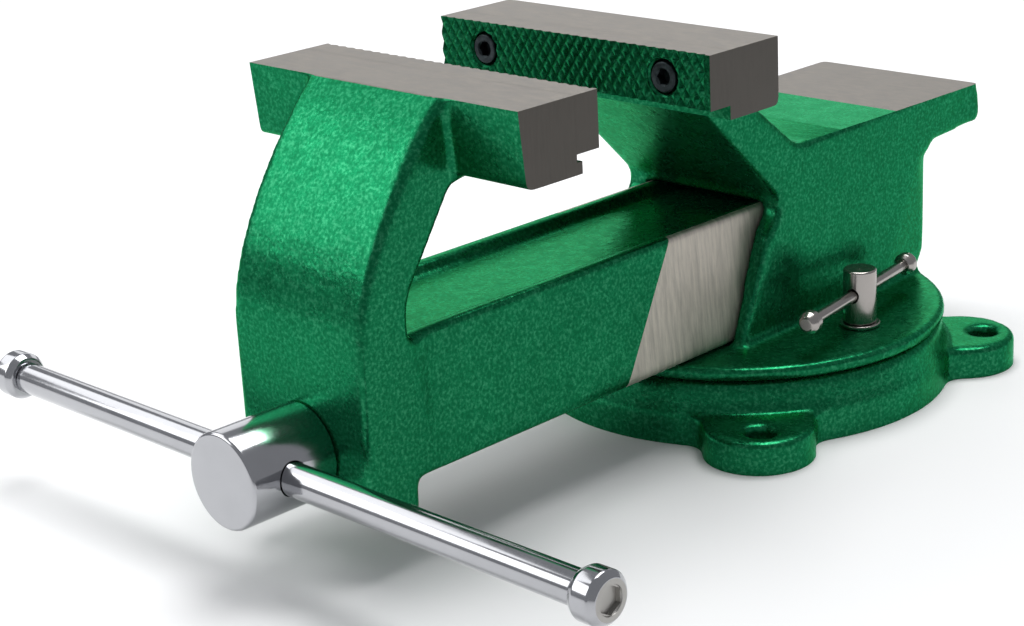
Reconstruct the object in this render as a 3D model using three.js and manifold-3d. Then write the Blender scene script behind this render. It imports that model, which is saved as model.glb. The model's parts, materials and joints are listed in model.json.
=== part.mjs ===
// A 150 mm bench vise on a swivel base, in millimetres, +Z up.
// The origin is where the swivel axis meets the bench. +Y runs from the handle to the anvil,
// so the moving jaw opens towards -Y, and X runs across the jaws.

import * as THREE from "three";
import { mergeVertices } from "three/addons/utils/BufferGeometryUtils.js";
import Module from "manifold-3d";

const wasm = await Module();
wasm.setup();

// Overall sizes
const JAW_WIDTH = 150;
const JAW_TOP = 178;
const JAW_OPENING = 64;
const FIXED_FACE_Y = -107.4;
const GAP = 0.3;
const CUT = 1;
const CAST_CORNER = 5;
const CUT_CORNER = 1.5;

// Jaw plates and their screws
const PLATE_HEIGHT = 22.2;
const PLATE_THICKNESS = 12;
const PLATE_SEAT = PLATE_THICKNESS + GAP;
const SCREW_SPACING = 100;
const SCREW_DROP = 11.8;
const SCREW_RADIUS = 4;
const SCREW_HEAD_RADIUS = 6.3;
const SCREW_HEAD_LENGTH = 8;
const SCREW_HEAD_EDGE = 0.5;
const SCREW_LENGTH = 20;
const SCREW_END_ROOM = 2;
const COUNTERBORE_RADIUS = 7.2;
const SCREW_RECESS = 1;
const SCREW_KEY_FLATS = 6;
const SCREW_KEY_DEPTH = 4;
const SCREW_SHELF_GAP = 0.1;

// Moving jaw: block, column and beam
const FRONT_BLOCK_DEPTH = 41.8;
const FRONT_BLOCK_HEIGHT = 30;
const BLOCK_TAPER = 3.2;
const LIP_HEIGHT = 4.8;
const LIP_BACK = 9.6;
const COLUMN_FRONT = 90;
const COLUMN_THICKNESS = 24.5;
const COLUMN_BOTTOM = 22.5;
const COLUMN_WIDTH = 74.6;
const BROW_REACH = 11;
const BROW_DROP = 7;
const BROW_FOOT = 33.4;
const THROAT_RISE = 13.9;
const THROAT_RADIUS = 25;
const FLARE_INSET = 2.3;
const FLARE_DROP = 3.8;
const FLARE_REACH = 16;
const BEAM_DRAFT = 4;
const BEAM_HEIGHT = 56.5;
const BEAM_LENGTH = 321;
const BEAM_WALL = 10;
const BEAM_ROOF = 10;
const TROUGH_DEPTH = 5;
const TROUGH_SLANT = 1;
const RIM_WIDTH = 6;

// Fixed body: cheeks, neck, fixed jaw block and anvil
const CHEEK_WALL = 6.3;
const SLIDE_GAP = 0.4;
const REAR_BLOCK_DEPTH = 42.4;
const REAR_BLOCK_HEIGHT = 28;
const NECK_INSET = 27.4;
const SADDLE_DROP = 17.4;
const SADDLE_Y = -11.8;
const SADDLE_RADIUS = 14;
const ANVIL_THICKNESS = 18;
const ANVIL_ROOT = 21.2;
const ANVIL_LEAN = 4;
const ANVIL_DROP = 61;
const ANVIL_REAR_Y = 123;
const TAIL_Y = 88;
const TAIL_WALL = 3.4;
const TAIL_RISE = 9;
const TAIL_UNDERCUT = 7;
const TAIL_CUT_LOW = 37;
const TAIL_CUT_HIGH = 9.5;
const CHEEK_FOOT_Y = -53.5;
const CHEEK_KNEE_Y = -34;
const CHEEK_KNEE_DROP = 13.2;
const CHEEK_KNEE_RADIUS = 12;
const CHEEK_HEAD_Y = -21.7;
const CHEEK_HEAD_RISE = 0.8;
const CHEEK_HEAD_RADIUS = 8;

// Turntable and base
const BASE_HEIGHT = 28.2;
const BASE_RADIUS = 95;
const BASE_TOP_RADIUS = 91.5;
const DISC_RADIUS = 93;
const DISC_THICKNESS = 6.4;
const DISC_EDGE = 1;
const PILOT_RADIUS = 44;
const PILOT_DEPTH = 18.5;
const LUG_COUNT = 4;
const FIRST_LUG_ANGLE = 43.2;
const LUG_HEIGHT = 14.5;
const LUG_RADIUS = 24;
const LUG_CENTRE = 102;
const LUG_FILLET = 9;
const LUG_HOLE_CIRCLE = 112;
const LUG_HOLE_RADIUS = 6.5;

// Swivel locks: a tommy-bar screw on each side, in a ring-shaped T-slot
const LOCK_COUNT = 2;
const LOCK_CIRCLE = 65.5;
const LOCK_Y = 3;
const LOCK_BAR_ANGLE = 8.8;
const PILLAR_RADIUS = 7.35;
const PILLAR_HEIGHT = 24.2;
const PILLAR_EDGE = 0.6;
const LOCK_SHANK_RADIUS = 5;
const LOCK_WASHER_RADIUS = 9;
const LOCK_WASHER_THICKNESS = 1.5;
const SLOT_NECK = 12.4;
const SLOT_WIDTH = 22.6;
const SLOT_FLOOR = 11;
const SLOT_ROOF = 20;
const T_NUT_SIZE = 17;
const T_NUT_HEIGHT = 7;
const TOMMY_RADIUS = 2.55;
const TOMMY_SPAN = 91;
const TOMMY_RISE = 13.2;
const TOMMY_KNOB_RADIUS = 5;
const TOMMY_KNOB_LENGTH = 8;
const TOMMY_KNOB_EDGE = 1.5;

// Screw, nut and handle
const SPINDLE_AXIS_Z = 46.5;
const SPINDLE_RADIUS = 11;
const SPINDLE_SHORT = 2;
const SPINDLE_CHAMFER = 1.5;
const HEAD_RADIUS = 19.3;
const HEAD_LENGTH = 39.7;
const HEAD_EDGE = 0.8;
const NUT_WALL = 6;
const NUT_CORNER = 9;
const NUT_LENGTH = 36;
const NUT_CENTRE_Y = -20;
const NUT_SINK = 10.6;
const NUT_BOLT_SPACING = 20;
const NUT_BOLT_RADIUS = 4;
const NUT_BOLT_HEAD_RADIUS = 6.5;
const NUT_BOLT_HEAD_LENGTH = 8;
const NUT_BOLT_HEAD_ROOM = 0.7;
const NUT_BOLT_GRIP = 8.5;
const BAR_RADIUS = 6.5;
const BAR_FROM_COLUMN = 21.2;
const BAR_SPAN = 331.4;
const BAR_OFFSET = 4.4;
const KNOB_RADIUS = 9.9;
const KNOB_LENGTH = 12;
const KNOB_EDGE = 1.6;
const KNOB_KEY_FLATS = 10;
const KNOB_KEY_DEPTH = 3.5;
const WASHER_RADIUS = 17;
const WASHER_THICKNESS = 2.5;
const SPRING_WIRE_RADIUS = 1.3;
const SPRING_CLEARANCE = 1.7;
const SPRING_TURNS = 4;
const SPRING_PITCH = 3.2;
const COLLAR_WALL = 5;
const COLLAR_LENGTH = 14;
const COLLAR_PIN_RADIUS = 3;
const COLLAR_PIN_SHORT = 0.5;
const GROOVE_CLEARANCE = 2;

// Heights and places that follow from the sizes above
const DISC_BOTTOM = BASE_HEIGHT + GAP;
const DISC_TOP = DISC_BOTTOM + DISC_THICKNESS;
const BEAM_BOTTOM = DISC_TOP + SLIDE_GAP;
const BEAM_TOP = BEAM_BOTTOM + BEAM_HEIGHT;
const COLUMN_REAR = COLUMN_FRONT - COLUMN_THICKNESS;
const BEAM_END = BEAM_LENGTH - COLUMN_REAR;
const PILOT_BOTTOM = DISC_BOTTOM - PILOT_DEPTH;
const CHANNEL_HALF = COLUMN_WIDTH / 2 + SLIDE_GAP;
const CHANNEL_ROOF = BEAM_TOP + SLIDE_GAP;
const BODY_HALF = CHANNEL_HALF + CHEEK_WALL;
const NUT_WIDTH = 2 * (SPINDLE_RADIUS + NUT_WALL);
const SPRING_RADIUS = SPINDLE_RADIUS + SPRING_CLEARANCE + SPRING_WIRE_RADIUS;
const COLLAR_RADIUS = SPINDLE_RADIUS + COLLAR_WALL;
const ANVIL_TOP = JAW_TOP - ANVIL_DROP;
const SCREW_Z = JAW_TOP - SCREW_DROP;
const NUT_BOTTOM = DISC_TOP - NUT_SINK;
const HEAD_FRONT = -COLUMN_FRONT - GAP - HEAD_LENGTH;
const BAR_Y = -COLUMN_FRONT - BAR_FROM_COLUMN;
const WASHER_Y = -COLUMN_REAR + GAP;
const SPRING_Y = WASHER_Y + WASHER_THICKNESS + GAP;
const SPRING_LENGTH = SPRING_TURNS * SPRING_PITCH + 2 * SPRING_WIRE_RADIUS;
const COLLAR_Y = SPRING_Y + SPRING_LENGTH + GAP;

// Segments round a circle, and steps round a corner
const FINE = 64;
const HIDDEN_ROUND = 48;
const MEDIUM = 24;
const COARSE = 16;
const CORNER_STEPS = 6;
const LUG_STEPS = 8;
const BROW_STEPS = 12;

const GREEN = { color: 0x168a4e, roughness: 0.4, metalness: 0.1 };
const GROUND = { color: 0x8c857c, roughness: 0.45, metalness: 0.9 };
const CHROME = { color: 0xd9dbe0, roughness: 0.12, metalness: 1 };
const NICKEL = { color: 0xb6b3ae, roughness: 0.3, metalness: 1 };
const BLACK_STEEL = { color: 0x24272b, roughness: 0.45, metalness: 0.8 };
const BRONZE = { color: 0x9a7440, roughness: 0.45, metalness: 0.9 };
const SPRING_STEEL = { color: 0x6f7276, roughness: 0.35, metalness: 1 };

// --- solids -----------------------------------------------------------------------------------

// A closed geometry as a solid that can be joined and cut.
function solid(geometry) {
  const bare = geometry.clone();
  bare.deleteAttribute("normal");
  bare.deleteAttribute("uv");
  const merged = mergeVertices(bare, 1e-4);
  const corners = merged.index.array;
  const triVerts = [];
  for (let i = 0; i < corners.length; i += 3) {
    const [a, b, c] = corners.subarray(i, i + 3);
    if (a !== b && b !== c && c !== a) triVerts.push(a, b, c);
  }
  return new wasm.Manifold(
    new wasm.Mesh({
      numProp: 3,
      vertProperties: merged.attributes.position.array,
      triVerts: new Uint32Array(triVerts),
    }),
  );
}

function geometryOf(made) {
  const { vertProperties, triVerts } = made.getMesh();
  const geometry = new THREE.BufferGeometry();
  geometry.setAttribute("position", new THREE.Float32BufferAttribute(vertProperties, 3));
  geometry.setIndex(new THREE.Uint32BufferAttribute(triVerts, 1));
  const flat = geometry.toNonIndexed();
  flat.computeVertexNormals();
  return flat;
}

function cut(body, ...tools) {
  return tools.reduce((left, tool) => left.subtract(tool), body);
}

function join(first, ...others) {
  return others.reduce((all, other) => all.add(other), first);
}

function moved(made, x, y, z) {
  return made.translate([x, y, z]);
}

// An outline whose corners [u, v, radius] are rounded where they give a radius.
function rounded(corners, steps = CORNER_STEPS) {
  const points = [];
  corners.forEach(([u, v, radius = 0], i) => {
    const corner = new THREE.Vector2(u, v);
    if (!radius) {
      points.push(corner);
      return;
    }
    const next = corners[(i + 1) % corners.length];
    const last = corners[(i + corners.length - 1) % corners.length];
    const back = new THREE.Vector2(last[0] - u, last[1] - v).normalize();
    const ahead = new THREE.Vector2(next[0] - u, next[1] - v).normalize();
    const half = Math.acos(back.dot(ahead)) / 2;
    const centre = back.clone().add(ahead).setLength(radius / Math.sin(half)).add(corner);
    const reach = radius / Math.tan(half);
    const start = back.multiplyScalar(reach).add(corner).sub(centre);
    const end = ahead.multiplyScalar(reach).add(corner).sub(centre);
    const turn = Math.atan2(start.cross(end), start.dot(end));
    for (let k = 0; k <= steps; k += 1) {
      const spoke = start.clone().rotateAround(new THREE.Vector2(), (turn * k) / steps);
      points.push(spoke.add(centre));
    }
  });
  return points;
}

function extrude(outline, depth) {
  const shape = new THREE.Shape(outline);
  return new THREE.ExtrudeGeometry(shape, { depth, bevelEnabled: false, steps: 1 });
}

// An outline of (x, y) points, between two heights.
function extrudeZ(outline, low, high) {
  return solid(extrude(outline, high - low).translate(0, 0, low));
}

// An outline of (y, z) points, between two places across the vise.
function extrudeX(outline, low, high) {
  const turn = new THREE.Matrix4().set(0, 0, 1, low, 1, 0, 0, 0, 0, 1, 0, 0, 0, 0, 0, 1);
  return solid(extrude(outline, high - low).applyMatrix4(turn));
}

// An outline of (x, z) points, between two places along the vise.
function extrudeY(outline, low, high) {
  const turn = new THREE.Matrix4().set(1, 0, 0, 0, 0, 0, -1, high, 0, 1, 0, 0, 0, 0, 0, 1);
  return solid(extrude(outline, high - low).applyMatrix4(turn));
}

function box(low, high) {
  const size = high.map((value, i) => value - low[i]);
  const middle = high.map((value, i) => (value + low[i]) / 2);
  return solid(new THREE.BoxGeometry(...size).translate(...middle));
}

// A solid of revolution about Z. The profile's [radius, height] points run anticlockwise.
function turned(profile, segments) {
  const points = profile.map(([radius, height]) => new THREE.Vector2(radius, height));
  return solid(new THREE.LatheGeometry(points, segments).rotateX(Math.PI / 2));
}

function rod(radius, low, high, segments = MEDIUM) {
  return turned([[0, low], [radius, low], [radius, high], [0, high]], segments);
}

function ring(inner, outer, low, high, segments = MEDIUM) {
  const profile = [[inner, low], [outer, low], [outer, high], [inner, high], [inner, low]];
  return turned(profile, segments);
}

function hexagonRod(acrossFlats, low, high) {
  return rod(acrossFlats / 2 / Math.cos(Math.PI / 6), low, high, 6);
}

function alongX(made) {
  return made.rotate([0, 90, 0]);
}

function alongY(made) {
  return made.rotate([-90, 0, 0]);
}

// --- scene graph ------------------------------------------------------------------------------

const vise = new THREE.Group();
const swivelling = new THREE.Group();
const movingJaw = new THREE.Group();
const screw = new THREE.Group();
vise.add(swivelling);
swivelling.add(movingJaw);
movingJaw.add(screw);
movingJaw.position.y = FIXED_FACE_Y - JAW_OPENING;
screw.position.z = SPINDLE_AXIS_Z;

function addPiece(parent, name, made, finish) {
  const mesh = new THREE.Mesh(geometryOf(made), new THREE.MeshStandardMaterial(finish));
  mesh.name = name;
  parent.add(mesh);
  return mesh;
}

// --- base -------------------------------------------------------------------------------------

// A lug's plan, pointing along +X, with hollow fillets where it leaves the round base.
function lugOutline() {
  const filletSide = LUG_RADIUS + LUG_FILLET;
  const filletAlong = Math.sqrt((BASE_RADIUS + LUG_FILLET) ** 2 - filletSide ** 2);
  const root = new THREE.Vector2(filletAlong, filletSide);
  root.setLength(BASE_RADIUS);
  const start = Math.atan2(root.y - filletSide, root.x - filletAlong);
  const shape = new THREE.Path();
  shape.moveTo(0, -root.y);
  shape.lineTo(root.x, -root.y);
  shape.absarc(filletAlong, -filletSide, LUG_FILLET, -start, Math.PI / 2, true);
  shape.absarc(LUG_CENTRE, 0, LUG_RADIUS, -Math.PI / 2, Math.PI / 2, false);
  shape.absarc(filletAlong, filletSide, LUG_FILLET, -Math.PI / 2, start, true);
  shape.lineTo(0, root.y);
  return withoutRepeats(shape.getPoints(LUG_STEPS));
}

function withoutRepeats(points) {
  return points.filter((point, i) => i === 0 || point.distanceTo(points[i - 1]) > 1e-3);
}

function lugAngle(index) {
  return FIRST_LUG_ANGLE + (360 / LUG_COUNT) * index;
}

function makeBase() {
  const edge = DISC_EDGE;
  const wall = turned(
    [
      [0, 0],
      [BASE_RADIUS, 0],
      [BASE_RADIUS, LUG_HEIGHT - edge],
      [BASE_RADIUS - edge, LUG_HEIGHT + edge],
      [BASE_TOP_RADIUS, BASE_HEIGHT - edge],
      [BASE_TOP_RADIUS - edge, BASE_HEIGHT],
      [0, BASE_HEIGHT],
    ],
    FINE,
  );
  const lugHole = moved(rod(LUG_HOLE_RADIUS, -CUT, LUG_HEIGHT + CUT), LUG_HOLE_CIRCLE, 0, 0);
  let base = wall;
  for (let i = 0; i < LUG_COUNT; i += 1) {
    const turn = [0, 0, lugAngle(i)];
    base = base.add(extrudeZ(lugOutline(), 0, LUG_HEIGHT).rotate(turn));
    base = base.subtract(lugHole.rotate(turn));
  }
  const slotIn = LOCK_CIRCLE - SLOT_WIDTH / 2;
  const slotOut = LOCK_CIRCLE + SLOT_WIDTH / 2;
  const neckIn = LOCK_CIRCLE - SLOT_NECK / 2;
  const neckOut = LOCK_CIRCLE + SLOT_NECK / 2;
  const pilotBore = rod(PILOT_RADIUS + GAP, PILOT_BOTTOM - GAP, BASE_HEIGHT + CUT, HIDDEN_ROUND);
  const slot = ring(slotIn, slotOut, SLOT_FLOOR, SLOT_ROOF, HIDDEN_ROUND);
  const slotNeck = ring(neckIn, neckOut, SLOT_ROOF - CUT, BASE_HEIGHT + CUT, HIDDEN_ROUND);
  return cut(base, pilotBore, slot, slotNeck);
}

addPiece(vise, "swivel_base", makeBase(), GREEN);

// --- fixed body -------------------------------------------------------------------------------

function makeTurntable() {
  const edge = DISC_EDGE;
  return turned(
    [
      [0, PILOT_BOTTOM],
      [PILOT_RADIUS, PILOT_BOTTOM],
      [PILOT_RADIUS, DISC_BOTTOM],
      [DISC_RADIUS - edge, DISC_BOTTOM],
      [DISC_RADIUS, DISC_BOTTOM + edge],
      [DISC_RADIUS, DISC_TOP - edge],
      [DISC_RADIUS - edge, DISC_TOP],
      [0, DISC_TOP],
    ],
    FINE,
  );
}

// The side view of cheeks, neck and anvil. Its top front corner is buried in the jaw block.
function bodyOutline() {
  const blockRear = FIXED_FACE_Y + REAR_BLOCK_DEPTH;
  const neckFront = FIXED_FACE_Y + NECK_INSET;
  const saddleTop = JAW_TOP - SADDLE_DROP;
  return rounded([
    [CHEEK_FOOT_Y, DISC_TOP - CUT],
    [CHEEK_KNEE_Y, CHANNEL_ROOF - CHEEK_KNEE_DROP, CHEEK_KNEE_RADIUS],
    [CHEEK_HEAD_Y, CHANNEL_ROOF + CHEEK_HEAD_RISE, CHEEK_HEAD_RADIUS],
    [neckFront, JAW_TOP - REAR_BLOCK_HEIGHT],
    [neckFront, saddleTop],
    [blockRear - CUT, saddleTop],
    [SADDLE_Y, ANVIL_TOP, SADDLE_RADIUS],
    [ANVIL_REAR_Y, ANVIL_TOP, CUT_CORNER],
    [ANVIL_REAR_Y + ANVIL_LEAN, ANVIL_TOP - ANVIL_THICKNESS, CAST_CORNER],
    [TAIL_Y, ANVIL_TOP - ANVIL_ROOT, CAST_CORNER],
    [TAIL_Y, DISC_TOP + TAIL_RISE, CAST_CORNER],
    [TAIL_Y - TAIL_UNDERCUT, DISC_TOP - CUT],
  ]);
}

// The wedge that narrows a cheek towards its rear end, on the +X side.
function tailCut() {
  const reach = BODY_HALF + CAST_CORNER;
  const tip = CHANNEL_HALF + TAIL_WALL;
  const slice = (start) => [
    [BODY_HALF, start],
    [reach, start],
    [reach, TAIL_Y],
    [tip, TAIL_Y],
  ];
  return loft(slice(TAIL_Y - TAIL_CUT_LOW), DISC_TOP, slice(TAIL_Y - TAIL_CUT_HIGH), CHANNEL_ROOF);
}

// A solid between a lower and an upper outline with the same number of (x, y) points.
function loft(lower, low, upper, high) {
  const count = lower.length;
  const positions = [
    ...lower.flatMap(([x, y]) => [x, y, low]),
    ...upper.flatMap(([x, y]) => [x, y, high]),
  ];
  const index = [];
  for (let i = 0; i < count; i += 1) {
    const next = (i + 1) % count;
    index.push(i, next, count + next, i, count + next, count + i);
  }
  for (let i = 1; i < count - 1; i += 1) {
    index.push(0, i + 1, i, count, count + i, count + i + 1);
  }
  const geometry = new THREE.BufferGeometry();
  geometry.setAttribute("position", new THREE.Float32BufferAttribute(positions, 3));
  geometry.setIndex(index);
  return solid(geometry);
}

// Half the beam's width at a height: its sides lean in towards the top.
function beamHalf(z) {
  return COLUMN_WIDTH / 2 - (BEAM_DRAFT * (z - BEAM_BOTTOM)) / BEAM_HEIGHT;
}

function slidingSection(low, high, clearance) {
  const lowHalf = beamHalf(low) + clearance;
  const highHalf = beamHalf(high) + clearance;
  return rounded([[-lowHalf, low], [lowHalf, low], [highHalf, high], [-highHalf, high]]);
}

function screwHoles(seatY, direction) {
  const depth = SCREW_LENGTH + SCREW_END_ROOM;
  const hole = alongY(rod(SCREW_RADIUS + GAP, -CUT, depth, COARSE));
  const turnedHole = direction > 0 ? hole : hole.rotate([0, 0, 180]);
  return [-1, 1].map((side) => moved(turnedHole, (side * SCREW_SPACING) / 2, seatY, SCREW_Z));
}

function nutBoltPlaces() {
  return [-1, 1].map((side) => NUT_CENTRE_Y + (side * NUT_BOLT_SPACING) / 2);
}

function makeBody() {
  const blockHalf = JAW_WIDTH / 2;
  const block = box(
    [-blockHalf, FIXED_FACE_Y + PLATE_SEAT, JAW_TOP - REAR_BLOCK_HEIGHT],
    [blockHalf, FIXED_FACE_Y + REAR_BLOCK_DEPTH, JAW_TOP],
  );
  const cheeks = extrudeX(bodyOutline(), -BODY_HALF, BODY_HALF);
  const far = DISC_RADIUS + CUT;
  const channel = extrudeY(slidingSection(DISC_TOP, CHANNEL_ROOF, SLIDE_GAP), -far, far);
  const hollow = cut(cheeks, channel, tailCut(), tailCut().rotate([0, 0, 180]).mirror([0, 1, 0]));
  const casting = join(makeTurntable(), hollow, block);

  const grooveHalf = SPINDLE_RADIUS + GROOVE_CLEARANCE;
  const groove = box(
    [-grooveHalf, -far, DISC_TOP - GROOVE_CLEARANCE],
    [grooveHalf, far, DISC_TOP + CUT],
  );
  const pocket = box(
    [-NUT_WIDTH / 2 - GAP, NUT_CENTRE_Y - NUT_LENGTH / 2 - GAP, NUT_BOTTOM - GAP],
    [NUT_WIDTH / 2 + GAP, NUT_CENTRE_Y + NUT_LENGTH / 2 + GAP, DISC_TOP + CUT],
  );
  const headRoom = PILOT_BOTTOM + NUT_BOLT_HEAD_LENGTH + 2 * GAP;
  const headHole = NUT_BOLT_HEAD_RADIUS + NUT_BOLT_HEAD_ROOM;
  const bolts = nutBoltPlaces().flatMap((y) => [
    moved(rod(headHole, PILOT_BOTTOM - CUT, headRoom, COARSE), 0, y, 0),
    moved(rod(NUT_BOLT_RADIUS + GAP, PILOT_BOTTOM, NUT_BOTTOM, COARSE), 0, y, 0),
  ]);
  const locks = lockPlaces().map(([x, y]) =>
    moved(rod(LOCK_SHANK_RADIUS + GAP, DISC_BOTTOM - CUT, DISC_TOP + CUT, COARSE), x, y, 0),
  );
  const plateScrews = screwHoles(FIXED_FACE_Y + PLATE_SEAT, 1);
  return cut(casting, groove, pocket, ...bolts, ...locks, ...plateScrews);
}

addPiece(swivelling, "fixed_body", makeBody(), GREEN);

// --- moving jaw -------------------------------------------------------------------------------

// The side view of column and neck, with y = 0 at the gripping face.
function columnOutline() {
  const blockBottom = JAW_TOP - FRONT_BLOCK_HEIGHT;
  const inside = FRONT_BLOCK_DEPTH - FLARE_REACH;
  const brow = new THREE.CubicBezierCurve(
    new THREE.Vector2(-FRONT_BLOCK_DEPTH, JAW_TOP),
    new THREE.Vector2(-FRONT_BLOCK_DEPTH - BROW_REACH, JAW_TOP - BROW_DROP),
    new THREE.Vector2(-COLUMN_FRONT, BEAM_TOP + BROW_FOOT),
    new THREE.Vector2(-COLUMN_FRONT, BEAM_TOP),
  );
  const back = rounded([
    [-COLUMN_REAR, COLUMN_BOTTOM],
    [-COLUMN_REAR, BEAM_TOP + THROAT_RISE, THROAT_RADIUS],
    [-FRONT_BLOCK_DEPTH + FLARE_INSET, blockBottom - FLARE_DROP, CAST_CORNER],
    [-inside, blockBottom],
  ]);
  return [...back, new THREE.Vector2(-inside, JAW_TOP), ...brow.getPoints(BROW_STEPS)].concat(
    new THREE.Vector2(-COLUMN_FRONT, COLUMN_BOTTOM),
  );
}

function frontBlockOutline() {
  const bottom = JAW_TOP - FRONT_BLOCK_HEIGHT;
  return rounded([
    [-PLATE_SEAT, JAW_TOP],
    [-FRONT_BLOCK_DEPTH, JAW_TOP],
    [-FRONT_BLOCK_DEPTH + BLOCK_TAPER, bottom, CUT_CORNER],
    [-LIP_BACK, bottom, CUT_CORNER],
    [-LIP_BACK, bottom + LIP_HEIGHT],
    [-PLATE_SEAT, bottom + LIP_HEIGHT],
  ]);
}

// The shallow dish along the top of the beam, between its two rims.
function troughOutline() {
  const half = beamHalf(BEAM_TOP) - RIM_WIDTH;
  return rounded([
    [-half, BEAM_TOP + CUT],
    [-half + TROUGH_SLANT, BEAM_TOP - TROUGH_DEPTH, CAST_CORNER],
    [half - TROUGH_SLANT, BEAM_TOP - TROUGH_DEPTH, CAST_CORNER],
    [half, BEAM_TOP + CUT],
  ]);
}

function makeMovingJaw() {
  const half = COLUMN_WIDTH / 2;
  const beam = slidingSection(BEAM_BOTTOM, BEAM_TOP, 0);
  const casting = join(
    extrudeX(columnOutline(), -half, half),
    extrudeX(frontBlockOutline(), -JAW_WIDTH / 2, JAW_WIDTH / 2),
    extrudeY(beam, -COLUMN_REAR - CUT, BEAM_END),
  );
  const inner = beamHalf(BEAM_TOP) - BEAM_WALL;
  const hollow = box(
    [-inner, -COLUMN_REAR, COLUMN_BOTTOM - CUT],
    [inner, BEAM_END + CUT, BEAM_TOP - BEAM_ROOF - TROUGH_DEPTH],
  );
  const trough = extrudeY(troughOutline(), -COLUMN_REAR, BEAM_END + CUT);
  const bore = alongY(rod(SPINDLE_RADIUS + GAP, -COLUMN_FRONT - CUT, -COLUMN_REAR + CUT));
  const screws = screwHoles(-PLATE_SEAT, -1);
  return cut(casting, hollow, trough, moved(bore, 0, 0, SPINDLE_AXIS_Z), ...screws);
}

addPiece(movingJaw, "moving_jaw", makeMovingJaw(), GREEN);

// --- jaw plates and screws --------------------------------------------------------------------

// A jaw plate with its gripping face at y = 0 and its back towards +Y.
function makePlate() {
  const half = JAW_WIDTH / 2;
  const plate = box([-half, 0, JAW_TOP - PLATE_HEIGHT], [half, PLATE_THICKNESS, JAW_TOP]);
  const shelf = SCREW_RECESS + SCREW_HEAD_LENGTH + SCREW_SHELF_GAP;
  const bore = alongY(rod(COUNTERBORE_RADIUS, -CUT, shelf, COARSE));
  const hole = alongY(rod(SCREW_RADIUS + GAP, 0, PLATE_THICKNESS + CUT, COARSE));
  const places = [-1, 1].map((side) => (side * SCREW_SPACING) / 2);
  const holes = places.flatMap((x) => [moved(bore, x, 0, SCREW_Z), moved(hole, x, 0, SCREW_Z)]);
  return cut(plate, ...holes);
}

// A socket screw along +Y with the outer face of its head at y = 0.
function makePlateScrew() {
  const end = PLATE_SEAT - SCREW_RECESS + SCREW_LENGTH;
  const body = turned(
    [
      [0, 0],
      [SCREW_HEAD_RADIUS - SCREW_HEAD_EDGE, 0],
      [SCREW_HEAD_RADIUS, SCREW_HEAD_EDGE],
      [SCREW_HEAD_RADIUS, SCREW_HEAD_LENGTH],
      [SCREW_RADIUS, SCREW_HEAD_LENGTH],
      [SCREW_RADIUS, end],
      [0, end],
    ],
    COARSE,
  );
  return alongY(cut(body, hexagonRod(SCREW_KEY_FLATS, -CUT, SCREW_KEY_DEPTH)));
}

function addPlateAndScrews(parent, jaw, faceY, turn) {
  const holder = new THREE.Group();
  holder.position.y = faceY;
  holder.rotation.z = turn;
  parent.add(holder);
  addPiece(holder, `${jaw}_jaw_plate`, makePlate(), GROUND);
  for (const side of [-1, 1]) {
    const left = turn ? side > 0 : side < 0;
    const name = `${jaw}_plate_screw_${left ? "left" : "right"}`;
    const piece = addPiece(holder, name, makePlateScrew(), BLACK_STEEL);
    piece.position.set((side * SCREW_SPACING) / 2, SCREW_RECESS, SCREW_Z);
  }
}

addPlateAndScrews(swivelling, "fixed", FIXED_FACE_Y, 0);
addPlateAndScrews(movingJaw, "moving", 0, Math.PI);

// --- screw, handle and nut --------------------------------------------------------------------

function makeSpindle() {
  const shoulder = -COLUMN_FRONT - GAP;
  const end = BEAM_END - SPINDLE_SHORT;
  const body = alongY(
    turned(
      [
        [0, HEAD_FRONT],
        [HEAD_RADIUS - HEAD_EDGE, HEAD_FRONT],
        [HEAD_RADIUS, HEAD_FRONT + HEAD_EDGE],
        [HEAD_RADIUS, shoulder],
        [SPINDLE_RADIUS, shoulder],
        [SPINDLE_RADIUS, end - SPINDLE_CHAMFER],
        [SPINDLE_RADIUS - SPINDLE_CHAMFER, end],
        [0, end],
      ],
      2 * MEDIUM,
    ),
  );
  const barHole = alongX(rod(BAR_RADIUS + GAP, -HEAD_RADIUS - CUT, HEAD_RADIUS + CUT));
  const pinHole = alongX(rod(COLLAR_PIN_RADIUS + GAP, -COLLAR_RADIUS, COLLAR_RADIUS, COARSE));
  const pinY = COLLAR_Y + COLLAR_LENGTH / 2;
  return cut(body, moved(barHole, 0, BAR_Y, 0), moved(pinHole, 0, pinY, 0));
}

function makeCollar() {
  const body = alongY(ring(SPINDLE_RADIUS + GAP, COLLAR_RADIUS, 0, COLLAR_LENGTH));
  const hole = alongX(rod(COLLAR_PIN_RADIUS + GAP, -COLLAR_RADIUS - CUT, COLLAR_RADIUS + CUT, COARSE));
  return cut(body, moved(hole, 0, COLLAR_LENGTH / 2, 0));
}

function makeSpring() {
  const radius = SPRING_RADIUS;
  class Coil extends THREE.Curve {
    getPoint(t, target = new THREE.Vector3()) {
      const angle = 2 * Math.PI * SPRING_TURNS * t;
      const height = SPRING_WIRE_RADIUS + SPRING_TURNS * SPRING_PITCH * t;
      return target.set(radius * Math.cos(angle), height, radius * Math.sin(angle));
    }
  }
  const corners = [0, 1, 2, 3, 4, 5, 6, 7].map((k) => (k * Math.PI) / 4);
  const section = corners.map((angle) => {
    const reach = new THREE.Vector2(SPRING_WIRE_RADIUS, 0);
    return reach.rotateAround(new THREE.Vector2(), angle);
  });
  const steps = SPRING_TURNS * COARSE;
  const path = { steps, extrudePath: new Coil(), bevelEnabled: false };
  return solid(new THREE.ExtrudeGeometry(new THREE.Shape(section), path));
}

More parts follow.
